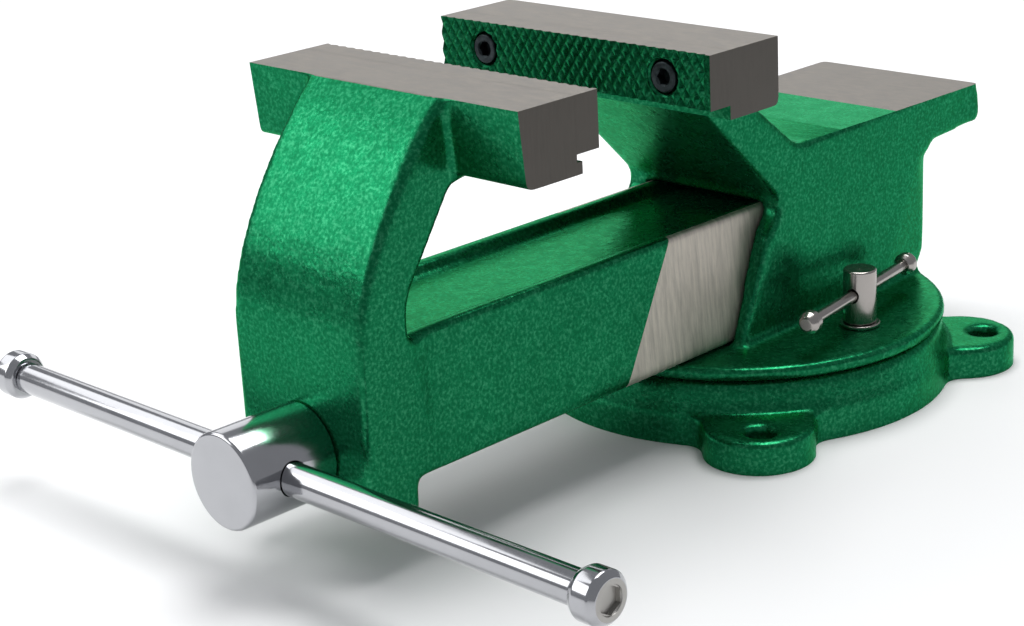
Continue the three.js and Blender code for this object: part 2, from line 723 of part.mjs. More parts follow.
function addScrewPieces() {
  addPiece(screw, "spindle", makeSpindle(), CHROME);
  const washer = alongY(ring(SPINDLE_RADIUS + GAP, WASHER_RADIUS, 0, WASHER_THICKNESS));
  addPiece(screw, "spindle_washer", washer, NICKEL).position.y = WASHER_Y;
  addPiece(screw, "take_up_spring", makeSpring(), SPRING_STEEL).position.y = SPRING_Y;
  addPiece(screw, "retaining_collar", makeCollar(), NICKEL).position.y = COLLAR_Y;
  const pinHalf = COLLAR_RADIUS - COLLAR_PIN_SHORT;
  const pin = alongX(rod(COLLAR_PIN_RADIUS, -pinHalf, pinHalf, COARSE));
  addPiece(screw, "collar_pin", pin, SPRING_STEEL).position.y = COLLAR_Y + COLLAR_LENGTH / 2;
}

// A turned knob along +X: its inner face at x = 0 and a hexagon socket in its outer face.
function makeHandleKnob() {
  const edge = KNOB_EDGE;
  const body = turned(
    [
      [0, 0],
      [KNOB_RADIUS - edge, 0],
      [KNOB_RADIUS, edge],
      [KNOB_RADIUS, KNOB_LENGTH - 2 * edge],
      [KNOB_RADIUS - edge, KNOB_LENGTH - edge / 2],
      [KNOB_RADIUS - 2 * edge, KNOB_LENGTH],
      [0, KNOB_LENGTH],
    ],
    MEDIUM,
  );
  const depth = KNOB_LENGTH - KNOB_KEY_DEPTH;
  return alongX(cut(body, hexagonRod(KNOB_KEY_FLATS, depth, KNOB_LENGTH + CUT)));
}

function addHandle() {
  const handle = new THREE.Group();
  handle.position.set(BAR_OFFSET, BAR_Y, 0);
  screw.add(handle);
  const half = BAR_SPAN / 2 - KNOB_LENGTH / 2;
  const bar = alongX(rod(BAR_RADIUS, -half + GAP, half - GAP));
  addPiece(handle, "handle_bar", bar, CHROME);
  for (const [name, side] of [["left", -1], ["right", 1]]) {
    const knob = addPiece(handle, `handle_knob_${name}`, makeHandleKnob(), CHROME);
    knob.position.x = side * half;
    knob.rotation.z = side > 0 ? 0 : Math.PI;
  }
}

// The nut that stands in the body's floor, with y = 0 at its middle.
function makeNut() {
  const half = NUT_WIDTH / 2;
  const outline = rounded([
    [-half, NUT_BOTTOM],
    [half, NUT_BOTTOM],
    [half, SPINDLE_AXIS_Z + half, NUT_CORNER],
    [-half, SPINDLE_AXIS_Z + half, NUT_CORNER],
  ]);
  const body = extrudeY(outline, -NUT_LENGTH / 2, NUT_LENGTH / 2);
  const reach = NUT_LENGTH / 2 + CUT;
  const bore = moved(alongY(rod(SPINDLE_RADIUS + GAP, -reach, reach)), 0, 0, SPINDLE_AXIS_Z);
  const bolts = nutBoltPlaces().map((y) => {
    const hole = rod(NUT_BOLT_RADIUS + GAP, NUT_BOTTOM - CUT, nutBoltTop() + GAP, COARSE);
    return moved(hole, 0, y - NUT_CENTRE_Y, 0);
  });
  return cut(body, bore, ...bolts);
}

function nutBoltTop() {
  return NUT_BOTTOM + NUT_BOLT_GRIP;
}

function makeNutBolt() {
  const low = PILOT_BOTTOM + GAP;
  const shelf = low + NUT_BOLT_HEAD_LENGTH;
  const body = join(
    rod(NUT_BOLT_HEAD_RADIUS, low, shelf, COARSE),
    rod(NUT_BOLT_RADIUS, shelf - CUT, nutBoltTop(), COARSE),
  );
  return cut(body, hexagonRod(SCREW_KEY_FLATS, low - CUT, low + SCREW_KEY_DEPTH));
}

function addNut() {
  addPiece(swivelling, "spindle_nut", makeNut(), BRONZE).position.y = NUT_CENTRE_Y;
  nutBoltPlaces().forEach((y, i) => {
    const name = `nut_bolt_${i ? "rear" : "front"}`;
    addPiece(swivelling, name, makeNutBolt(), BLACK_STEEL).position.y = y;
  });
}

addScrewPieces();
addHandle();
addNut();

// --- swivel locks -----------------------------------------------------------------------------

function lockPlaces() {
  return [-1, 1].slice(0, LOCK_COUNT).map((side) => [side * LOCK_CIRCLE, LOCK_Y]);
}

// A lock screw with z = 0 at the turntable's top: a cross-drilled pillar on a threaded shank.
function makeLockScrew() {
  const foot = LOCK_WASHER_THICKNESS + 2 * GAP;
  const tip = SLOT_FLOOR + CUT - DISC_TOP;
  const top = foot + PILLAR_HEIGHT;
  const body = turned(
    [
      [0, tip],
      [LOCK_SHANK_RADIUS, tip],
      [LOCK_SHANK_RADIUS, foot],
      [PILLAR_RADIUS, foot],
      [PILLAR_RADIUS, top - PILLAR_EDGE],
      [PILLAR_RADIUS - PILLAR_EDGE, top],
      [0, top],
    ],
    MEDIUM,
  );
  const reach = PILLAR_RADIUS + CUT;
  const hole = alongY(rod(TOMMY_RADIUS + GAP, -reach, reach, COARSE));
  return cut(body, moved(hole, 0, 0, foot + TOMMY_RISE));
}

// A barrel-shaped knob along +Y with its inner face at y = 0.
function makeTommyKnob() {
  const edge = TOMMY_KNOB_EDGE;
  const profile = [
    [0, 0],
    [TOMMY_KNOB_RADIUS - edge, 0],
    [TOMMY_KNOB_RADIUS, edge],
    [TOMMY_KNOB_RADIUS, TOMMY_KNOB_LENGTH - edge],
    [TOMMY_KNOB_RADIUS - edge, TOMMY_KNOB_LENGTH],
    [0, TOMMY_KNOB_LENGTH],
  ];
  return alongY(turned(profile, COARSE));
}

function makeTNut() {
  const half = T_NUT_SIZE / 2;
  const low = SLOT_ROOF - GAP - T_NUT_HEIGHT;
  const body = box([-half, -half, low], [half, half, low + T_NUT_HEIGHT]);
  return cut(body, rod(LOCK_SHANK_RADIUS + GAP, low - CUT, SLOT_ROOF, COARSE));
}

function addLock(name, x, y) {
  const lock = new THREE.Group();
  lock.position.set(x, y, DISC_TOP);
  lock.rotation.z = THREE.MathUtils.degToRad(LOCK_BAR_ANGLE) * Math.sign(x);
  swivelling.add(lock);
  const washer = ring(LOCK_SHANK_RADIUS + GAP, LOCK_WASHER_RADIUS, GAP, GAP + LOCK_WASHER_THICKNESS);
  addPiece(lock, `lock_washer_${name}`, washer, NICKEL);
  addPiece(lock, `lock_screw_${name}`, makeLockScrew(), NICKEL);

  const tommy = new THREE.Group();
  tommy.position.z = LOCK_WASHER_THICKNESS + 2 * GAP + TOMMY_RISE;
  lock.add(tommy);
  const half = TOMMY_SPAN / 2 - TOMMY_KNOB_LENGTH / 2;
  const bar = alongY(rod(TOMMY_RADIUS, -half + GAP, half - GAP, COARSE));
  addPiece(tommy, `tommy_bar_${name}`, bar, NICKEL);
  for (const [end, side] of [["front", -1], ["rear", 1]]) {
    const knob = addPiece(tommy, `tommy_knob_${name}_${end}`, makeTommyKnob(), NICKEL);
    knob.position.y = side * half;
    knob.rotation.z = side > 0 ? 0 : Math.PI;
  }
  const angle = Math.atan2(y, x);
  const nut = addPiece(swivelling, `lock_t_nut_${name}`, makeTNut(), BLACK_STEEL);
  nut.position.set(x, y, 0);
  nut.rotation.z = angle;
}

lockPlaces().forEach(([x, y]) => addLock(x < 0 ? "left" : "right", x, y));

export default vise;
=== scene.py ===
"""The looks of the bench vise: rounded castings with hammered green paint and machined bare faces,
serrated jaw plates, a threaded spindle, chromed bars, a pale floor and soft studio light."""

import json
import math

import bmesh
import bpy
from mathutils import Matrix, Vector


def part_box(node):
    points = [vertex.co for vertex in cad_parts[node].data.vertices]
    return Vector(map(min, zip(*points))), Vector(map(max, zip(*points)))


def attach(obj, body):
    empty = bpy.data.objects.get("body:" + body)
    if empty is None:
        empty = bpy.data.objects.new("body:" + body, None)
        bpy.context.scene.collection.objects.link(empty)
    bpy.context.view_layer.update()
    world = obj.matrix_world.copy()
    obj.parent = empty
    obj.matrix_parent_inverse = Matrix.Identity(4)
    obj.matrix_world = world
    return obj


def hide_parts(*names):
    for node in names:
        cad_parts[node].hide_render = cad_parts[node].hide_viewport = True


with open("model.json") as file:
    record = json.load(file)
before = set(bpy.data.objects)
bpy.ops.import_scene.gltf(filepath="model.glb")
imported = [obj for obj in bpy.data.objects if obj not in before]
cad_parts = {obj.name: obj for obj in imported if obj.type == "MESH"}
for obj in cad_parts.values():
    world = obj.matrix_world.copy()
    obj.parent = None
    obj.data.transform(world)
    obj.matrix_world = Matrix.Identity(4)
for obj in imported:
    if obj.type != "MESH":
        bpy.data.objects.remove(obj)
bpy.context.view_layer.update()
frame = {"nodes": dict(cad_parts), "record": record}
BODY_OF = {
    node: body
    for body, members in frame["record"]["behaviour"]["bodies"].items()
    for node in members
}

MM = 0.001
FAR = 400 * MM
WELD = 0.002 * MM
ROUND = 96
SMALL_ROUND = 48
ARC_STEPS = 6
SHARP = math.radians(32)
CAST_SHARP = math.radians(52)

# --- meshes -----------------------------------------------------------------------------------


def new_object(name, bm):
    mesh = bpy.data.meshes.new(name)
    bm.to_mesh(mesh)
    bm.free()
    piece = bpy.data.objects.new(name, mesh)
    bpy.context.scene.collection.objects.link(piece)
    return piece


def finished(piece, *materials, crisp_above=SHARP):
    """Smooth shading with crisp edges, and the piece's materials in slot order."""
    piece.data.shade_smooth()
    piece.data.set_sharp_from_angle(angle=crisp_above)
    piece.data.materials.clear()
    for material in materials:
        piece.data.materials.append(material)
    return piece


def stands_for(piece, *nodes):
    """The piece takes the place and the body of these CAD nodes."""
    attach(piece, BODY_OF[nodes[0]])
    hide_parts(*nodes)
    return piece


def applied(piece):
    """The piece with its modifiers made permanent."""
    graph = bpy.context.evaluated_depsgraph_get()
    mesh = bpy.data.meshes.new_from_object(piece.evaluated_get(graph))
    old = piece.data
    piece.modifiers.clear()
    piece.data = mesh
    bpy.data.meshes.remove(old)
    return piece


def boolean(piece, operation, *tools):
    for tool in tools:
        step = piece.modifiers.new(operation, "BOOLEAN")
        step.operation = operation
        step.solver = "MANIFOLD"
        step.object = tool
    applied(piece)
    for tool in tools:
        bpy.data.objects.remove(tool)
    return piece


def cad_mesh(node):
    """A welded copy of a CAD node's mesh."""
    bm = bmesh.new()
    bm.from_mesh(frame["nodes"][node].data)
    bmesh.ops.remove_doubles(bm, verts=bm.verts, dist=WELD)
    return bm


def box(low, high):
    bm = bmesh.new()
    size = Vector(high) - Vector(low)
    middle = (Vector(high) + Vector(low)) / 2
    place = Matrix.Translation(middle) @ Matrix.Diagonal((*size, 1))
    bmesh.ops.create_cube(bm, size=1, matrix=place)
    return new_object("tool", bm)


def drafted_bar(foot, roof, reach):
    """A bar along Y with sloping sides. foot and roof are (half width, height)."""
    bar = box((-foot[0], -reach, foot[1]), (foot[0], reach, roof[1]))
    middle = (foot[1] + roof[1]) / 2
    for vertex in bar.data.vertices:
        if vertex.co.z > middle:
            vertex.co.x = math.copysign(roof[0], vertex.co.x)
    return bar


def arc_corners(profile):
    """A profile of (radius, height, rounding) corners as plain points, with the corners as arcs."""
    points = []
    for i, corner in enumerate(profile):
        here = Vector(corner[:2])
        rounding = corner[2] if len(corner) > 2 else 0
        if not rounding or i in (0, len(profile) - 1):
            points.append(here)
            continue
        back = (Vector(profile[i - 1][:2]) - here).normalized()
        ahead = (Vector(profile[i + 1][:2]) - here).normalized()
        half = back.angle(ahead) / 2
        centre = here + (back + ahead).normalized() * rounding / math.sin(half)
        reach = rounding / math.tan(half)
        start = here + back * reach - centre
        end = here + ahead * reach - centre
        turn = start.angle_signed(end)
        for k in range(ARC_STEPS + 1):
            points.append(centre + Matrix.Rotation(-turn * k / ARC_STEPS, 2) @ start)
    return points


def turns(count):
    """Evenly spaced angles round a circle."""
    return [2 * math.pi * k / count for k in range(count)]


def lathe(name, profile, segments=ROUND):
    """A solid of revolution about Z from (radius, height, rounding) corners in metres, with the
    first and last corners on the axis."""
    bm = bmesh.new()
    rings = []
    for point in arc_corners(profile):
        if point.x < 1e-7:
            rings.append([bm.verts.new((0, 0, point.y))])
            continue
        rings.append([
            bm.verts.new((point.x * math.cos(a), point.x * math.sin(a), point.y))
            for a in turns(segments)
        ])
    for lower, upper in zip(rings, rings[1:]):
        for k in range(segments):
            after = (k + 1) % segments
            corners = [lower[k % len(lower)], lower[after % len(lower)],
                       upper[after % len(upper)], upper[k % len(upper)]]
            unique = list(dict.fromkeys(corners))
            if len(unique) > 2:
                bm.faces.new(unique)
    bmesh.ops.recalc_face_normals(bm, faces=bm.faces)
    return new_object(name, bm)


def rod(radius, low, high, segments=ROUND):
    return rounded_rod("tool", radius, low, high, 0, segments)


def rounded_rod(name, radius, low, high, edge, segments=ROUND):
    profile = [(0, low), (radius, low, edge), (radius, high, edge), (0, high)]
    return lathe(name, profile, segments)


def tube(name, inner, outer, low, high, edge):
    """A ring about Z with rounded outer edges."""
    body = rounded_rod(name, outer, low, high, edge)
    return boolean(body, "DIFFERENCE", rod(inner, low - MM, high + MM))


def corner_radius(across_flats):
    return across_flats / 2 / math.cos(math.pi / 6)


def hexagon(across_flats, low, high):
    return rod(corner_radius(across_flats), low, high, 6)


def skinned(name, bm, loops):
    """A solid through rows of vertices that each go once round it, closed at both ends."""
    for before, after in zip(loops, loops[1:]):
        for k in range(len(before)):
            n = (k + 1) % len(before)
            bm.faces.new([before[k], before[n], after[n], after[k]])
    for loop in (loops[0], loops[-1]):
        bm.faces.new(loop)
    bmesh.ops.recalc_face_normals(bm, faces=bm.faces)
    return new_object(name, bm)


AXES = {
    "+X": Matrix.Rotation(math.pi / 2, 4, "Y"),
    "-X": Matrix.Rotation(-math.pi / 2, 4, "Y"),
    "+Y": Matrix.Rotation(-math.pi / 2, 4, "X"),
    "-Y": Matrix.Rotation(math.pi / 2, 4, "X"),
    "+Z": Matrix.Identity(4),
}


def placed(piece, axis, origin):
    """Turns a piece's Z to an axis and moves it to its origin, in the mesh itself."""
    turn = AXES[axis] if isinstance(axis, str) else axis
    piece.data.transform(Matrix.Translation(origin) @ turn)
    return piece


def middle_of(node):
    low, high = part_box(node)
    return (low + high) / 2


# --- materials --------------------------------------------------------------------------------


def shade(color, share):
    return tuple(share * value for value in color)


class Finish:
    """A Principled material with short calls for its nodes."""

    def __init__(self, name, **sockets):
        self.material = bpy.data.materials.new(name)
        self.material.use_nodes = True
        self.nodes = self.material.node_tree.nodes
        self.links = self.material.node_tree.links
        self.shader = self.nodes["Principled BSDF"]
        self.place = self.nodes.new("ShaderNodeTexCoord").outputs["Object"]
        for socket, value in sockets.items():
            self.shader.inputs[socket.replace("_", " ")].default_value = value

    def stretched(self, scale):
        mapping = self.nodes.new("ShaderNodeMapping")
        mapping.inputs["Scale"].default_value = scale
        self.links.new(self.place, mapping.inputs["Vector"])
        return mapping.outputs["Vector"]

    def noise(self, scale, detail=3.0, roughness=0.55, vector=None):
        node = self.nodes.new("ShaderNodeTexNoise")
        node.inputs["Scale"].default_value = scale
        node.inputs["Detail"].default_value = detail
        node.inputs["Roughness"].default_value = roughness
        self.links.new(vector or self.place, node.inputs["Vector"])
        return node.outputs["Fac"]

    def ramp(self, source, *stops):
        """Colours by (position, colour) stops."""
        node = self.nodes.new("ShaderNodeValToRGB")
        elements = node.color_ramp.elements
        while len(elements) < len(stops):
            elements.new(0.5)
        for element, (position, color) in zip(elements, stops):
            element.position = position
            element.color = (*color, 1)
        self.links.new(source, node.inputs["Fac"])
        return node.outputs["Color"]

    def spread(self, source, low, high):
        """A noise's usual range, 0.3 to 0.7, spread from low to high."""
        node = self.nodes.new("ShaderNodeMapRange")
        node.inputs["From Min"].default_value = 0.3
        node.inputs["From Max"].default_value = 0.7
        node.inputs["To Min"].default_value = low
        node.inputs["To Max"].default_value = high
        self.links.new(source, node.inputs["Value"])
        return node.outputs["Result"]

    def mixed(self, amount, first, second):
        node = self.nodes.new("ShaderNodeMix")
        node.data_type = "RGBA"
        self.links.new(amount, node.inputs["Factor"])
        self.links.new(first, node.inputs["A"])
        self.links.new(second, node.inputs["B"])
        return node.outputs["Result"]

    def bump(self, height, distance, strength, below=None):
        node = self.nodes.new("ShaderNodeBump")
        node.inputs["Distance"].default_value = distance
        node.inputs["Strength"].default_value = strength
        self.links.new(height, node.inputs["Height"])
        if below:
            self.links.new(below, node.inputs["Normal"])
        return node.outputs["Normal"]

    def link(self, **sources):
        for socket, source in sources.items():
            self.links.new(source, self.shader.inputs[socket.replace("_", " ")])
        return self.material


def green_paint(name, depth):
    """Hammered green enamel: fine light flecks, slow patches and an orange-peel gloss."""
    paint = Finish(name, Metallic=0.8, Specular_IOR_Level=0.2, Specular_Tint=(0.25, 0.95, 0.55, 1))
    grain = paint.noise(700)

    def flecked(strength):
        return paint.ramp(
            grain,
            (0.36, shade((0.0040, 0.118, 0.044), depth * strength)),
            (0.50, shade((0.0065, 0.155, 0.060), depth * strength)),
            (0.68, shade((0.0300, 0.245, 0.112), depth * strength)),
        )

    hammer = paint.bump(paint.noise(260, 2.0), 0.5 * MM, 0.32)
    return paint.link(
        Base_Color=paint.mixed(paint.noise(38, 2.0), flecked(0.86), flecked(1.16)),
        Roughness=paint.spread(paint.noise(160), 0.22, 0.34),
        Normal=paint.bump(paint.noise(900, 2.0), 0.09 * MM, 0.4, hammer),
    )


def machined_steel(name, grain, tint, contrast=0.45):
    """Bare machined iron with its tool marks along one direction."""
    steel = Finish(name, Metallic=0.85, Specular_IOR_Level=0.5)
    marks = steel.noise(1, 6.0, 0.7, steel.stretched(grain))
    clouds = steel.noise(60, 4.0, 0.6)
    streaks = steel.ramp(marks, (0.3, shade(tint, 1 - contrast)), (0.7, shade(tint, 1 + contrast)))
    stain = steel.ramp(clouds, (0.3, shade(tint, 0.9)), (0.7, shade(tint, 1.06)))
    return steel.link(
        Base_Color=steel.mixed(steel.spread(clouds, 0.2, 0.5), streaks, stain),
        Roughness=steel.spread(marks, 0.40, 0.56),
        Normal=steel.bump(marks, 0.05 * MM, 0.6),
    )


def plated(name, tint, rough, marks_scale=(60, 60, 60)):
    """Polished plating with faint smears and fine polishing marks."""
    plate = Finish(name, Metallic=1.0)
    smears = plate.noise(1, 4.0, 0.6, plate.stretched(marks_scale))
    return plate.link(
        Base_Color=plate.ramp(smears, (0.3, shade(tint, 0.93)), (0.7, tint)),
        Roughness=plate.spread(smears, *rough),
        Normal=plate.bump(plate.noise(700), 0.01 * MM, 0.35),
    )


def black_oxide():
    oxide = Finish("black_oxide", Metallic=0.85, Specular_IOR_Level=0.3)
    wear = oxide.noise(400, 4.0)
    return oxide.link(
        Base_Color=oxide.ramp(wear, (0.35, (0.010, 0.014, 0.016)), (0.7, (0.040, 0.052, 0.056))),
        Roughness=oxide.spread(wear, 0.32, 0.5),
        Normal=oxide.bump(wear, 0.04 * MM, 0.5),
    )


def bronze():
    metal = Finish("bronze", Metallic=0.9)
    grain = metal.noise(500, 5.0)
    return metal.link(
        Base_Color=metal.ramp(grain, (0.3, (0.30, 0.17, 0.06)), (0.7, (0.48, 0.30, 0.12))),
        Roughness=metal.spread(grain, 0.35, 0.55),
        Normal=metal.bump(grain, 0.1 * MM, 0.5),
    )


PAINT = green_paint("green_paint", 0.94)
# The three machined steels are one bare iron in three tints: the darkest, on ends and undersides,
# is painted shade; the lighter one on the tops and the lightest one on the beam's slides are
# painted light.
SHADED_STEEL = machined_steel("machined_steel", (600, 600, 60), (0.098, 0.090, 0.080), 0.2)
LIT_STEEL_ALONG = machined_steel("lit_machined_steel_along", (130, 330, 70), (0.200, 0.183, 0.160))
BRIGHT_LIT_STEEL_UP = machined_steel("bright_lit_machined_steel_up", (60, 420, 45), (0.57, 0.53, 0.465))
# The jaw plates' enamel is a darker copy of the body's enamel: painted shade on the toothed faces
# between the jaws.
SHADED_PLATE_PAINT = green_paint("shaded_plate_paint", 0.65)
CHROME = plated("chrome", (0.45, 0.455, 0.475), (0.10, 0.18))
NICKEL = plated("nickel", (0.40, 0.375, 0.355), (0.16, 0.28), (300, 300, 120))
ROUGH_CHROME = plated("rough_chrome", (0.42, 0.41, 0.39), (0.32, 0.50), (500, 500, 500))
SPRING = plated("spring_steel", (0.25, 0.26, 0.28), (0.25, 0.4))
OXIDE = black_oxide()
BRONZE = bronze()

# --- castings ---------------------------------------------------------------------------------

VOXEL = 1.5 * MM
SMOOTHING = 14
TOUCH = 0.05 * MM

# How far a face grows before the rounding: a machined face, and the top of the front jaw's brow.
OVERSIZE = 5 * MM
BROW_OVERSIZE = 0.8 * MM

# Heights on the jaw blocks from which faces grow and cuts are made.
BLOCK_FOOT = 140 * MM
BLOCK_CUT_FOOT = 120 * MM
SEAT_CUT_FOOT = 145 * MM

# The body's channel as (half width, height), its anvil, and the saddle in front of the anvil.
CHANNEL_FOOT = (37.74 * MM, 34.9 * MM)
CHANNEL_ROOF = (33.67 * MM, 92.2 * MM)
ANVIL_TOP = 117 * MM
ANVIL_REAR = 121 * MM
ANVIL_BARE_FROM = 60 * MM
SADDLE_FRONT = -3 * MM

# The front jaw's column, brow and lip under the jaw plate.
COLUMN_HALF = 37.4 * MM
COLUMN_REAR = -236.9 * MM
BROW_DEPTH = 41.7 * MM
LIP_DEPTH = 2.7 * MM
LIP_TOP = 152.8 * MM

# The bare strips on the beam's sides, and the slanted line where they begin.
SLIDE_EDGE = 30.6 * MM
SLIDE_TOP = 93 * MM
SLIDE_END = -125 * MM
SLIDE_LINE = (Vector((0, -85.3 * MM, 92.3 * MM)), Vector((0, -120.3 * MM, 34.3 * MM)))


def raw_casting(name, node, grow, fillets=()):
    """A rounded copy of a CAD casting. grow moves each machined face outwards first, so that the
    rounding happens outside the finished size. Each fillet is a set of corner points to fill."""
    bm = cad_mesh(node)
    for vertex in bm.verts:
        vertex.co = grow(vertex.co)
    for corners in fillets:
        bmesh.ops.convex_hull(bm, input=[bm.verts.new(corner) for corner in corners])
    piece = new_object(name, bm)
    remesh = piece.modifiers.new("remesh", "REMESH")
    remesh.mode = "VOXEL"
    remesh.voxel_size = VOXEL
    smooth = piece.modifiers.new("smooth", "SMOOTH")
    smooth.factor = 0.5
    smooth.iterations = SMOOTHING
    return applied(piece)


def assign(piece, *rules):
    """Each rule gives a face's material from its centre, and the first that isn't None counts.
    A face with no answer keeps the piece's first material."""
    index = {material: k for k, material in enumerate(piece.data.materials)}
    for face in piece.data.polygons:
        answers = (rule(face.center) for rule in rules)
        chosen = next((answer for answer in answers if answer is not None), None)
        face.material_index = index.get(chosen, 0)


def split(piece, point, normal, chosen):
    """New edges where a plane crosses the chosen faces, so that a finish ends on a crisp line."""
    bm = bmesh.new()
    bm.from_mesh(piece.data)
    faces = [face for face in bm.faces if chosen(face.calc_center_median())]
    edges = {edge for face in faces for edge in face.edges}
    verts = {vert for face in faces for vert in face.verts}
    geometry = [*faces, *edges, *verts]
    bmesh.ops.bisect_plane(bm, geom=geometry, plane_co=point, plane_no=normal, dist=1e-7)
    bm.to_mesh(piece.data)
    bm.free()


def near(value, target, tolerance=0.06 * MM):
    return abs(value - target) < tolerance


def block_cuts(half, top):
    """The cuts that machine the ends and the top of a jaw block."""
    return [
        box((half, -FAR, BLOCK_CUT_FOOT), (FAR, FAR, FAR)),
        box((-FAR, -FAR, BLOCK_CUT_FOOT), (-half, FAR, FAR)),
        box((-FAR, -FAR, top), (FAR, FAR, FAR)),
    ]


def make_base():
    def grow(co):
        return Vector((co.x, co.y, co.z - OVERSIZE)) if co.z < TOUCH else co

    piece = raw_casting("base_casting", "swivel_base", grow)
    boolean(piece, "DIFFERENCE", box((-FAR, -FAR, -FAR), (FAR, FAR, 0)))
    finished(piece, PAINT, SHADED_STEEL, crisp_above=CAST_SHARP)
    # The dark steel on the machined foot is painted shade.
    assign(piece, lambda centre: SHADED_STEEL if near(centre.z, 0) else None)
    return stands_for(piece, "swivel_base")


def make_body():
    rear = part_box("fixed_body")[1].y
    half, seat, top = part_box("fixed_jaw_plate")[1]

    def grow(co):
        x, y, z = co
        if abs(x) > half - TOUCH and z > BLOCK_FOOT:
            x += math.copysign(OVERSIZE, x)
        if z > top - TOUCH:
            z += OVERSIZE
        if z > BLOCK_FOOT and near(y, seat + 0.3 * MM):
            y -= OVERSIZE
        if y > ANVIL_REAR:
            x += math.copysign(1.2 * MM, x)
            y += 2.2 * MM
            if near(z, ANVIL_TOP):
                z += OVERSIZE
        return Vector((x, y, z))

    piece = raw_casting("body_casting", "fixed_body", grow)
    boolean(
        piece,
        "DIFFERENCE",
        *block_cuts(half, top),
        box((-FAR, -FAR, SEAT_CUT_FOOT), (FAR, seat + TOUCH, FAR)),
        box((-FAR, SADDLE_FRONT, ANVIL_TOP), (FAR, FAR, FAR)),
        box((-FAR, rear, 0), (FAR, FAR, FAR)),
        drafted_bar(CHANNEL_FOOT, CHANNEL_ROOF, FAR),
    )
    split(piece, (0, ANVIL_BARE_FROM, 0), (0, 1, 0), lambda c: near(c.z, ANVIL_TOP))

    def block_end(centre):
        return SHADED_STEEL if near(abs(centre.x), half) and centre.z > BLOCK_CUT_FOOT else None

    def bare_top(centre):
        on_anvil = centre.y > ANVIL_BARE_FROM and near(centre.z, ANVIL_TOP)
        return LIT_STEEL_ALONG if on_anvil or near(centre.z, top) else None

    # The dark steel on the block's ends is painted shade, and the lighter steel on its top and the
    # anvil is painted light.
    finished(piece, PAINT, SHADED_STEEL, LIT_STEEL_ALONG, crisp_above=CAST_SHARP)
    assign(piece, block_end, bare_top)
    return stands_for(piece, "fixed_body")


def blend_into_beam(side):
    """Corners of the fillet between the column's rear and one side of the beam."""
    foot = [(31, -2), (37.3, -2), (31, 10), (37.2, 10)]
    roof = [(31, -2), (37.3, -2), (31, 13), (33.4, 13)]
    corners = [(x, y, 36) for x, y in foot] + [(x, y, 90.5) for x, y in roof]
    return [(side * x * MM, COLUMN_REAR + y * MM, z * MM) for x, y, z in corners]


def make_moving_jaw():
    plate_low, plate_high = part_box("moving_jaw_plate")
    half = plate_high.x
    top = plate_high.z
    seat = plate_low.y
    brow = plate_high.y - BROW_DEPTH

    def grow(co):
        x, y, z = co
        if abs(x) > half - TOUCH:
            x += math.copysign(OVERSIZE, x)
        if z > top - TOUCH:
            z += BROW_OVERSIZE if abs(co.x) < COLUMN_HALF and co.y < brow else OVERSIZE
        if z > BLOCK_FOOT and seat - 0.5 * MM < y < seat + 4 * MM:
            y = seat + 6 * MM
        return Vector((x, y, z))

    fillets = [blend_into_beam(-1), blend_into_beam(1)]
    piece = raw_casting("jaw_casting", "moving_jaw", grow, fillets)
    boolean(
        piece,
        "DIFFERENCE",
        *block_cuts(half, top),
        box((-FAR, seat - TOUCH, LIP_TOP), (FAR, FAR, FAR)),
        box((-FAR, seat + LIP_DEPTH, BLOCK_FOOT), (FAR, FAR, LIP_TOP + TOUCH)),
    )
    line_top, line_foot = SLIDE_LINE
    across = Vector((1, 0, 0)).cross(line_foot - line_top).normalized()

    def near_the_line(centre):
        in_reach = -140 * MM < centre.y < -70 * MM
        return in_reach and abs(centre.x) > 20 * MM and centre.z < 100 * MM

    def beside(edge, centre):
        close = abs(centre.x - edge) < 4 * MM
        return close and centre.y > -130 * MM and centre.z < 100 * MM

    split(piece, line_top, across, near_the_line)
    for edge in (-SLIDE_EDGE, SLIDE_EDGE):
        split(piece, (edge, 0, 0), (1, 0, 0), lambda c: beside(edge, c))

    def slides(centre):
        behind = (centre - line_top).dot(across) > 0
        outside = abs(centre.x) > SLIDE_EDGE
        below = centre.z < SLIDE_TOP
        return BRIGHT_LIT_STEEL_UP if behind and outside and below and centre.y > SLIDE_END else None

    # The dark steel on the block's ends is painted shade; the lighter steel on the top and the
    # brightest steel on the slides are painted light.
    finished(piece, PAINT, SHADED_STEEL, LIT_STEEL_ALONG, BRIGHT_LIT_STEEL_UP, crisp_above=CAST_SHARP)
    assign(
        piece,
        lambda centre: SHADED_STEEL if near(abs(centre.x), half) else None,
        lambda centre: LIT_STEEL_ALONG if near(centre.z, top) else None,
        slides,
    )
    return stands_for(piece, "moving_jaw")


# --- jaw plates and screws --------------------------------------------------------------------

TOOTH_WIDTH = 5.15 * MM
TOOTH_STEP = 3.7 * MM
TOOTH_HEIGHT = 1.15 * MM
TOOTH_TIP = 0.16
PLAIN_END = 2.5 * MM
COUNTERBORE = 7.2 * MM
COUNTERBORE_MOUTH = 8.0 * MM
COUNTERBORE_SEAT = 9.1 * MM
SCREW_HOLE = 4.3 * MM
M8_SHANK = 4 * MM
M8_HEAD = 8 * MM
M8_SOCKET = 4 * MM
M8_FLATS = 6 * MM


